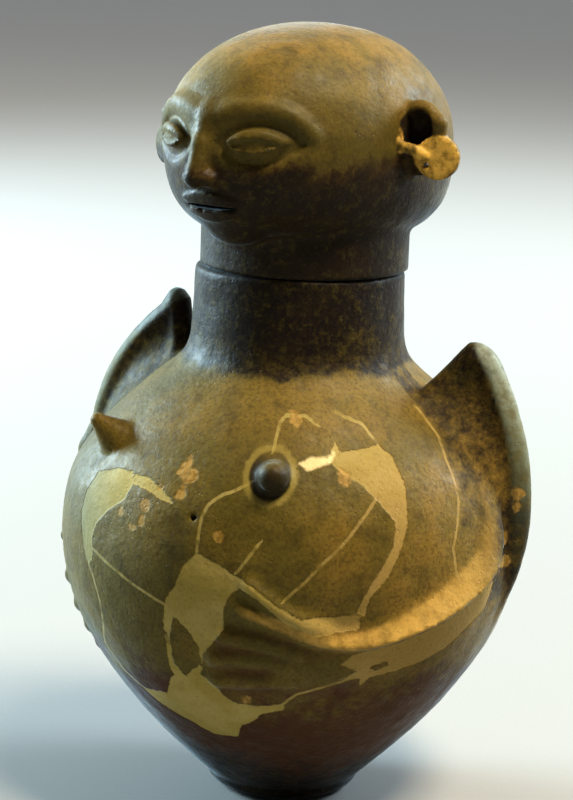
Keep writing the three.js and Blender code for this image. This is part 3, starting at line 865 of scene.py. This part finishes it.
def mark_jar(piece):
    points = vertex_points(piece)
    radius, turn, height = chart(points)
    scale = np.maximum(radius, 20) * math.pi / 180
    turn = np.where(turn < -150, turn + 360, turn)
    outside = open_outline(radius, height) > -WALL * 0.6
    plaster = np.full(len(points), UNMARKED)
    for outline in PLASTER.values():
        plaster = np.minimum(plaster, distance_to_outline(turn, height, np.array(outline, float), scale))
    for outline in SHERDS_IN_PLASTER:
        plaster = np.maximum(plaster, -distance_to_outline(turn, height, np.array(outline, float), scale))
    write_attribute(piece, "plaster", np.where(outside, plaster, UNMARKED))
    side, reach = signed_line_distance(turn, height, scale, CRACKS)
    write_attribute(piece, "crack_side", side)
    write_attribute(piece, "crack_reach", np.where(outside, reach, UNMARKED))
    chips = np.full(len(points), UNMARKED)
    for chip_turn, chip_height, size in CHIPS:
        chips = np.minimum(chips, np.hypot((turn - chip_turn) * scale, height - chip_height) - size)
    chips = np.minimum(chips, wing_chips(points))
    write_attribute(piece, "chip", np.where(outside, chips, UNMARKED))
    write_attribute(piece, "hand_shade", hand_shade(points))
    halo = np.hypot((turn - HALO_MIDDLE[0]) * scale, height - HALO_MIDDLE[1])
    write_attribute(piece, "halo", halo)
    spall = distance_to_outline(turn, height, np.array(WHITE_SPALL, float), scale)
    write_attribute(piece, "spall", np.where(outside, spall, UNMARKED))
    bands = wing_bands(points)
    # Painted highlight along the forearms, weaker on the right one; it also takes the black off there.
    pale = np.maximum(crest_highlight(points, LEFT_ARM), 0.4 * crest_highlight(points, RIGHT_ARM))
    write_attribute(piece, "wing_soot_and_shade", wing_soot_and_shade(points, bands) * (1 - pale))
    write_attribute(piece, "wing_band", np.maximum(*bands))
    write_attribute(piece, "crest_highlight", pale)
    write_attribute(piece, "inside", np.where(outside, 0.0, 1.0))


# ---- materials ----

class Nodes:
    """Shader nodes put together in code."""

    def __init__(self, name):
        self.material = bpy.data.materials.new(name)
        self.material.use_nodes = True
        self.tree = self.material.node_tree
        self.shader = self.tree.nodes["Principled BSDF"]
        self.place = self.tree.nodes.new("ShaderNodeTexCoord").outputs["Object"]

    def link(self, value, socket):
        if isinstance(value, bpy.types.NodeSocket):
            self.tree.links.new(value, socket)
        else:
            socket.default_value = value

    def attribute(self, name):
        node = self.tree.nodes.new("ShaderNodeAttribute")
        node.attribute_name = name
        return node.outputs["Fac"]

    def math(self, operation, *values, clamp=False):
        node = self.tree.nodes.new("ShaderNodeMath")
        node.operation = operation
        node.use_clamp = clamp
        for value, socket in zip(values, node.inputs):
            self.link(value, socket)
        return node.outputs[0]

    def ramp(self, value, start, end, low=0.0, high=1.0):
        """A value carried from start..end to low..high, with smooth ends."""
        node = self.tree.nodes.new("ShaderNodeMapRange")
        node.interpolation_type = "SMOOTHSTEP"
        for socket, item in zip(node.inputs, (value, start, end, low, high)):
            self.link(item, socket)
        return node.outputs[0]

    def noise(self, size_mm, detail=3.0, roughness=0.55, stretch=(1, 1, 1), distortion=0.0):
        mapping = self.tree.nodes.new("ShaderNodeMapping")
        mapping.inputs["Scale"].default_value = stretch
        self.link(self.place, mapping.inputs["Vector"])
        node = self.tree.nodes.new("ShaderNodeTexNoise")
        self.link(mapping.outputs[0], node.inputs["Vector"])
        node.inputs["Scale"].default_value = 1 / (size_mm * MM)
        node.inputs["Detail"].default_value = detail
        node.inputs["Roughness"].default_value = roughness
        node.inputs["Distortion"].default_value = distortion
        return node.outputs["Fac"]

    def pits(self, size_mm):
        node = self.tree.nodes.new("ShaderNodeTexVoronoi")
        self.link(self.place, node.inputs["Vector"])
        node.inputs["Scale"].default_value = 1 / (size_mm * MM)
        return node.outputs["Distance"]

    def mix(self, share, a, b):
        node = self.tree.nodes.new("ShaderNodeMix")
        node.data_type = "RGBA"
        self.link(share, node.inputs[0])
        for value, socket in ((a, node.inputs[6]), (b, node.inputs[7])):
            self.link((*value, 1) if isinstance(value, tuple) else value, socket)
        return node.outputs[2]

    def along(self, direction):
        """How far each point lies in a direction from the origin, in metres."""
        node = self.tree.nodes.new("ShaderNodeVectorMath")
        node.operation = "DOT_PRODUCT"
        self.link(self.place, node.inputs[0])
        node.inputs[1].default_value = direction
        return node.outputs["Value"]

    def bump(self, value, depth_mm, below=None):
        node = self.tree.nodes.new("ShaderNodeBump")
        node.inputs["Distance"].default_value = depth_mm * MM
        self.link(value, node.inputs["Height"])
        if below is not None:
            self.link(below, node.inputs["Normal"])
        return node.outputs[0]


# Linear colours of the clay and of the repairs, and of the painted light and shade on them.
CLAY = (0.105, 0.080, 0.015)
CLAY_LIGHT = (0.175, 0.120, 0.022)
CLAY_DARK = (0.040, 0.027, 0.008)
CLAY_SOOT_AND_SHADE = (0.010, 0.006, 0.006)
CLAY_RED = (0.062, 0.017, 0.004)
CLAY_OCHRE = (0.245, 0.145, 0.028)
CLAY_HIGHLIGHT = (0.520, 0.320, 0.080)
BAND_SHEEN_LOW = (0.135, 0.155, 0.105)
BAND_SHEEN_TOP = (0.300, 0.335, 0.260)
CLAY_ORANGE = (0.400, 0.245, 0.065)
PLASTER_TAN = (0.315, 0.240, 0.062)
PLASTER_PALE = (0.375, 0.290, 0.098)
PLASTER_COOL_LIT = (0.180, 0.200, 0.165)
PLASTER_WARM_LIT = (0.310, 0.198, 0.060)
CHIP_WHITE = (0.700, 0.560, 0.280)
LOBE = (0.700, 0.420, 0.085)


def clay_colour(n, lit_ochre, red, soot_and_shade, speckle=0.50):
    """Mottled, burnished clay. The three shares say where it is made paler and more orange (painted light),
    dark red, and black (fire blackening partly, painted shade partly).
    """
    cloud = n.noise(55, 3, 0.5)
    blotch = n.noise(15, 4, 0.6)
    grain = n.noise(2.6, 3, 0.7)
    fleck = n.noise(1.3, 2, 0.6)
    broken = n.ramp(n.noise(24, 5, 0.65), 0.36, 0.60, 0.45, 1.0)
    # Blackened and reddened parts break up into specks where they fade out.
    specks = n.math("MULTIPLY", n.math("SUBTRACT", n.noise(9, 5, 0.75), 0.5), 1.5)
    soot_and_shade = n.math("MULTIPLY", n.ramp(n.math("ADD", soot_and_shade, specks), 0.15, 0.80), n.ramp(soot_and_shade, 0.0, 0.2))
    red = n.math("MULTIPLY", n.ramp(n.math("ADD", red, specks), 0.10, 0.80), n.ramp(red, 0.0, 0.2))
    colour = n.mix(n.ramp(cloud, 0.36, 0.70, 0, 0.8), CLAY, CLAY_LIGHT)
    colour = n.mix(n.math("MULTIPLY", lit_ochre, broken), colour, CLAY_OCHRE)
    colour = n.mix(n.ramp(blotch, 0.50, 0.74, 0, 0.40), colour, CLAY_DARK)
    colour = n.mix(n.math("MULTIPLY", red, 0.95), colour, CLAY_RED)
    colour = n.mix(n.math("MULTIPLY", soot_and_shade, 0.97), colour, CLAY_SOOT_AND_SHADE)
    # Speckle: dark pits everywhere, and olive clay showing through where the clay is made dark red or black
    # (fire blackening partly, painted shade partly).
    through = n.math("MULTIPLY", n.math("MAXIMUM", n.math("MULTIPLY", red, 0.5), soot_and_shade),
                     n.ramp(n.noise(6, 5, 0.75), 0.51, 0.65, 0, 0.50))
    colour = n.mix(through, colour, CLAY)
    colour = n.mix(n.ramp(grain, 0.46, 0.62, 0, speckle), colour, CLAY_DARK)
    fleck = n.math("MULTIPLY", n.ramp(fleck, 0.60, 0.74, 0, 0.4),
                   n.math("SUBTRACT", 1.0, n.math("MULTIPLY", soot_and_shade, 0.8)))
    return n.mix(fleck, colour, CLAY_LIGHT)


def clay_relief(n):
    coarse = n.bump(n.noise(24, 3, 0.5), 1.4)
    fine = n.bump(n.noise(3.2, 4, 0.6), 0.45, coarse)
    return n.bump(n.ramp(n.pits(7), 0.05, 0.16), 0.25, fine)


def set_gloss(n):
    """Low, dusty gloss, the same all over."""
    n.shader.inputs["Specular IOR Level"].default_value = 0.12
    n.shader.inputs["Sheen Weight"].default_value = 0.24
    n.shader.inputs["Sheen Roughness"].default_value = 0.30
    n.shader.inputs["Sheen Tint"].default_value = (0.78, 0.92, 1.0, 1)
    n.shader.inputs["Coat Weight"].default_value = 0.05
    n.shader.inputs["Coat Roughness"].default_value = 0.42
    n.shader.inputs["Coat IOR"].default_value = 1.35


def jar_material():
    n = Nodes("burnished_clay_jar")
    set_gloss(n)
    drift = n.math("MULTIPLY", n.math("SUBTRACT", n.noise(50, 3, 0.5), 0.5), 0.09)
    z = n.math("ADD", n.along((0, 0, 1)), drift)
    calm = n.math("ADD", n.along((0, 0, 1)), n.math("MULTIPLY", drift, 0.35))
    # Near black at the neck under the head: fire blackening partly, painted shade partly.
    neck = n.math("MAXIMUM", n.ramp(calm, 0.317, 0.327, 0, 0.66), n.ramp(z, 0.330, 0.350, 0, 0.90))
    low = n.ramp(z, 0.140, 0.085)
    # Near black round the foot: fire blackening partly, painted shade partly.
    foot = n.ramp(z, 0.075, 0.015, 0, 0.9)
    # Painted light: paler and more orange on the side towards the key lamp and on the upward-facing shoulder.
    left = n.ramp(n.math("ADD", n.along(outwards(84)), drift), 0.105, 0.160, 0, 0.70)
    shoulder = n.math("MULTIPLY", n.ramp(z, 0.255, 0.300, 0, 0.36), n.ramp(calm, 0.326, 0.316))
    lit_ochre = n.math("MULTIPLY", n.math("MAXIMUM", left, shoulder),
                   n.ramp(n.attribute("wing_band"), 0, 1, 1, 0))
    soot_and_shade = n.math("MAXIMUM", n.math("MAXIMUM", neck, foot), n.attribute("wing_soot_and_shade"))
    colour = clay_colour(n, lit_ochre, n.math("MULTIPLY", low, 0.85), soot_and_shade, 0.40)
    colour = n.mix(n.ramp(n.noise(20, 5, 0.65), 0.50, 0.68, 0, 0.30), colour, CLAY_DARK)
    highlight_breakup = n.ramp(n.noise(9, 4, 0.65), 0.35, 0.60, 0.45, 0.9)
    # Painted highlight: the forearms' crests and first fingers made pale, broken up by noise.
    colour = n.mix(n.math("MULTIPLY", n.attribute("crest_highlight"), highlight_breakup), colour, CLAY_HIGHLIGHT)
    # Painted sheen: the wings' rounded outer edges made grey, and pale bluish higher up, for a cool
    # reflection from behind.
    band = n.mix(n.ramp(n.along((0, 0, 1)), 0.250, 0.340), BAND_SHEEN_LOW, BAND_SHEEN_TOP)
    band_sheen_share = n.math("MULTIPLY", n.attribute("wing_band"),
                        n.ramp(n.along((0, 0, 1)), 0.205, 0.270, 0.15, 1))
    colour = n.mix(n.math("MULTIPLY", band_sheen_share, n.math("MULTIPLY", highlight_breakup, 0.9)), colour, band)
    # Painted shade: dark red between the fingers.
    colour = n.mix(n.math("MULTIPLY", n.attribute("hand_shade"), 0.50), colour, CLAY_RED)
    # Plaster, with an edge that wanders a little, set a little below the clay.
    wander = n.math("MULTIPLY", n.math("SUBTRACT", n.noise(4, 3, 0.6), 0.5), 3.2)
    plaster = n.math("ADD", n.attribute("plaster"), wander)
    fill = n.ramp(plaster, 0.5, -0.5)
    tan = n.mix(n.ramp(n.noise(26, 3, 0.5), 0.35, 0.65), PLASTER_TAN, PLASTER_PALE)
    # Painted light: the plaster made warmer towards the key lamp and greyer towards the cool lamp on the
    # figure's right.
    tan = n.mix(n.ramp(n.along(outwards(84)), 0.070, 0.150, 0, 0.8), tan, PLASTER_WARM_LIT)
    tan = n.mix(n.ramp(n.along(outwards(-80)), 0.060, 0.150, 0, 0.9), tan, PLASTER_COOL_LIT)
    tan = n.mix(n.ramp(n.noise(2.2, 3, 0.6), 0.50, 0.70, 0, 0.28), tan, CLAY)
    colour = n.mix(fill, colour, tan)
    # Thin lines of the same fill along the old breaks.
    line = n.math("ABSOLUTE", n.math("ADD", n.attribute("crack_side"), n.math("MULTIPLY", wander, 0.35)))
    line = n.math("MULTIPLY", n.ramp(line, 1.5, 0.7), n.ramp(n.attribute("crack_reach"), 3.2, 2.0))
    line = n.math("MULTIPLY", line, n.ramp(n.noise(9, 2, 0.5), 0.30, 0.52, 0.30, 0.85))
    colour = n.mix(line, colour, tan)
    halo = n.ramp(n.math("ADD", n.attribute("halo"), n.math("MULTIPLY", wander, 1.4)), 20, 17, 0, 0.55)
    knob = n.ramp(n.attribute("halo"), 13.5, 15.5)
    colour = n.mix(n.math("MULTIPLY", halo, knob), colour, PLASTER_TAN)
    # Painted shade: the lower part of the left breast's knob made near black.
    knob_shade = n.math("MULTIPLY", n.ramp(n.attribute("halo"), 15, 13),
                        n.ramp(n.along((0, 0, 1)), 0.282, 0.270, 0, 0.75))
    colour = n.mix(knob_shade, colour, CLAY_SOOT_AND_SHADE)
    # Flakes where the surface came off, and one white spall.
    ragged = n.math("MULTIPLY", n.math("SUBTRACT", n.noise(12, 4, 0.6), 0.5), 16)
    flake = n.ramp(n.math("ADD", n.attribute("chip"), ragged), 1.2, -1.2, 0, 0.80)
    colour = n.mix(flake, colour, n.mix(n.ramp(n.noise(4, 3, 0.6), 0.4, 0.65), CLAY_ORANGE, CLAY_OCHRE))
    spall = n.ramp(n.math("ADD", n.attribute("spall"), wander), 2.0, -0.2)
    colour = n.mix(spall, colour, CHIP_WHITE)
    n.link(colour, n.shader.inputs["Base Color"])
    rough = n.ramp(n.noise(11, 3, 0.6), 0.3, 0.7, 0.44, 0.62)
    rough = n.math("ADD", rough,
                   n.math("MULTIPLY", n.math("MAXIMUM", fill, n.attribute("wing_soot_and_shade")), 0.28), clamp=True)
    n.link(rough, n.shader.inputs["Roughness"])
    relief = clay_relief(n)
    relief = n.bump(n.ramp(plaster, -0.8, 0.8), 0.5, relief)
    relief = n.bump(n.math("SUBTRACT", 1.0, n.math("MAXIMUM", line, n.math("MAXIMUM", flake, spall))),
                    0.2, relief)
    n.link(relief, n.shader.inputs["Normal"])
    return n.material


def lid_material():
    n = Nodes("burnished_clay_head")
    set_gloss(n)
    drift = n.math("MULTIPLY", n.math("SUBTRACT", n.noise(50, 3, 0.5), 0.5), 0.09)
    z = n.math("ADD", n.along((0, 0, 1)), drift)
    # Painted light: paler and more orange on the crown and on the upper side towards the key lamp.
    top = n.ramp(z, 0.510, 0.550, 0, 0.80)
    side = n.ramp(n.math("ADD", n.along(outwards(100)), z), 0.555, 0.605, 0, 0.5)
    low = n.ramp(z, 0.484, 0.460, 0, 0.62)
    # Near black on the lower head and collar, fire blackening partly and painted shade partly, and painted
    # shade inside the ear cups.
    soot_and_shade = n.math("MAXIMUM", n.ramp(z, 0.492, 0.436, 0, 0.97),
                  n.ramp(n.attribute("ear_cup"), 15, 10, 0, 0.92))
    colour = clay_colour(n, n.math("MAXIMUM", top, side), low, soot_and_shade, 0.30)
    colour = n.mix(n.ramp(n.noise(20, 5, 0.65), 0.50, 0.66, 0, 0.35), colour, CLAY_DARK)
    # Painted shade: darker below the crown.
    colour = n.mix(n.ramp(z, 0.535, 0.500, 0, 0.25), colour, CLAY_DARK)
    lobe = n.math("ADD", n.attribute("lobe"),
                  n.math("MULTIPLY", n.math("SUBTRACT", n.noise(5, 3, 0.6), 0.5), 6))
    colour = n.mix(n.ramp(lobe, 1.0, -2.5, 0, 0.9), colour,
                   n.mix(n.ramp(n.noise(8, 3, 0.6), 0.4, 0.7), LOBE, CLAY_OCHRE))
    n.link(colour, n.shader.inputs["Base Color"])
    n.link(n.ramp(n.noise(11, 3, 0.6), 0.3, 0.7, 0.42, 0.62), n.shader.inputs["Roughness"])
    n.link(clay_relief(n), n.shader.inputs["Normal"])
    return n.material


# ---- build the pieces ----

def build_jar():
    points, faces = surface(jar_field, jar_low, jar_high, JAR_STEP)
    piece = mesh_piece("urn_jar", points, faces)
    radius, _, height = chart(points)
    inside = (open_outline(radius, height) < -WALL + 1.5) & (height < RIM_HEIGHT - 30)
    thin_out(piece, inside, INSIDE_KEPT)
    mark_jar(piece)
    piece.data.materials.append(jar_material())
    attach(piece, "root")
    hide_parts("jar")
    return piece


def build_lid():
    points, faces = surface(lid_field, lid_low, lid_high, LID_STEP)
    piece = mesh_piece("urn_head_lid", points, faces)
    local = points - LID_SHIFT
    inside = (head_form(local, WALL) < 2.5) & (points[:, 2] > COLLAR_TOP + 5)
    thin_out(piece, inside, INSIDE_KEPT)
    points = vertex_points(piece) - LID_SHIFT
    c, s = math.cos(math.radians(LID_TURN)), math.sin(math.radians(LID_TURN))
    local = np.column_stack([c * points[:, 0] + s * points[:, 1], -s * points[:, 0] + c * points[:, 1],
                             points[:, 2]])
    places = [ear_place(local, one) for one in (NEAR_EAR, FAR_EAR)]
    lobe = np.linalg.norm(places[0] - [17.5, -3, -12], axis=1) - 16
    hook = sweep(places[0], spline(EAR_HOOK[1:], 10), np.full(10, 4.5))
    write_attribute(piece, "lobe", np.minimum(lobe, hook))
    cups = [np.linalg.norm((p - [2, -4, 6]) / [1, 1, 1.1], axis=1) for p in places]
    write_attribute(piece, "ear_cup", np.min(cups, axis=0))
    piece.data.materials.append(lid_material())
    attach(piece, "root")
    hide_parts("head_lid")
    return piece


# ---- floor, light and camera ----

def build_stage():
    bpy.ops.mesh.primitive_plane_add(size=70, location=(0, 0, 0))
    floor = bpy.context.object
    floor.name = "stage_floor"
    n = Nodes("pale_floor")
    far = n.tree.nodes.new("ShaderNodeVectorMath")
    far.operation = "LENGTH"
    n.link(n.place, far.inputs[0])
    n.link(n.mix(n.ramp(far.outputs["Value"], 0.5, 5.0), (0.275, 0.268, 0.250), (0.57, 0.56, 0.53)),
           n.shader.inputs["Base Color"])
    n.link(n.ramp(n.noise(3, 3, 0.6), 0.3, 0.7, 0.82, 0.95), n.shader.inputs["Roughness"])
    floor.data.materials.append(n.material)


def area_light(name, direction, distance, size, power, colour):
    """A soft square light that shines on the middle of the urn from an azimuth and an elevation."""
    azimuth, elevation = (math.radians(angle) for angle in direction)
    away = Vector((math.sin(azimuth) * math.cos(elevation), -math.cos(azimuth) * math.cos(elevation),
                   math.sin(elevation)))
    lamp = bpy.data.lights.new(name, "AREA")
    lamp.shape = "SQUARE"
    lamp.size = size
    lamp.energy = power
    lamp.color = colour
    holder = bpy.data.objects.new(name, lamp)
    middle = Vector((0, 0, CROWN_HEIGHT * MM / 2))
    holder.location = middle + away * distance
    holder.rotation_euler = (-away).to_track_quat("-Z", "Y").to_euler()
    bpy.context.scene.collection.objects.link(holder)


def build_lights():
    area_light("key_above_right", (88, 66), 5.0, 1.4, 380, (1.0, 0.88, 0.68))
    area_light("rim_left", (-88, 16), 4.0, 1.6, 420, (0.62, 0.86, 1.0))
    area_light("rim_right", (148, 28), 4.0, 1.4, 190, (0.72, 0.88, 1.0))
    # The studio is bright behind the urn and dim in front of it.
    world = bpy.data.worlds.new("studio")
    world.use_nodes = True
    tree = world.node_tree
    direction = tree.nodes.new("ShaderNodeTexCoord").outputs["Generated"]
    facing = tree.nodes.new("ShaderNodeVectorMath")
    facing.operation = "DOT_PRODUCT"
    tree.links.new(direction, facing.inputs[0])
    facing.inputs[1].default_value = -outwards(CAMERA_AZIMUTH)
    strength = tree.nodes.new("ShaderNodeMapRange")
    tree.links.new(facing.outputs["Value"], strength.inputs["Value"])
    for socket, value in (("From Min", -0.2), ("From Max", 0.7), ("To Min", 0.08), ("To Max", 0.80)):
        strength.inputs[socket].default_value = value
    background = tree.nodes["Background"]
    background.inputs["Color"].default_value = (0.92, 0.96, 1.0, 1)
    tree.links.new(strength.outputs[0], background.inputs["Strength"])
    bpy.context.scene.world = world


CAMERA_AZIMUTH = 31
CAMERA_DISTANCE = 1.600
CAMERA_HEIGHT = 0.622
AIM_HEIGHT = 0.290
AIM_OFFSET = (-0.00645, -0.0010)  # to the right and up, in the picture
CAMERA_ROLL = 2.0
LENS = 101.4


def build_camera():
    azimuth = math.radians(CAMERA_AZIMUTH)
    place = Vector((math.sin(azimuth) * CAMERA_DISTANCE, -math.cos(azimuth) * CAMERA_DISTANCE, CAMERA_HEIGHT))
    aim = Vector((0, 0, AIM_HEIGHT))
    turn = (aim - place).to_track_quat("-Z", "Y").to_matrix()
    aim += turn @ Vector((*AIM_OFFSET, 0))
    turn = ((aim - place).to_track_quat("-Z", "Y").to_matrix()
            @ Matrix.Rotation(math.radians(CAMERA_ROLL), 3, "Z"))
    data = bpy.data.cameras.new("camera")
    data.lens = LENS
    camera = bpy.data.objects.new("camera", data)
    camera.matrix_world = Matrix.Translation(place) @ turn.to_4x4()
    bpy.context.scene.collection.objects.link(camera)
    bpy.context.scene.camera = camera


build_jar()
build_lid()
build_stage()
build_lights()
build_camera()
bpy.context.scene.view_settings.view_transform = "Standard"
bpy.context.scene.view_settings.look = "Medium High Contrast"
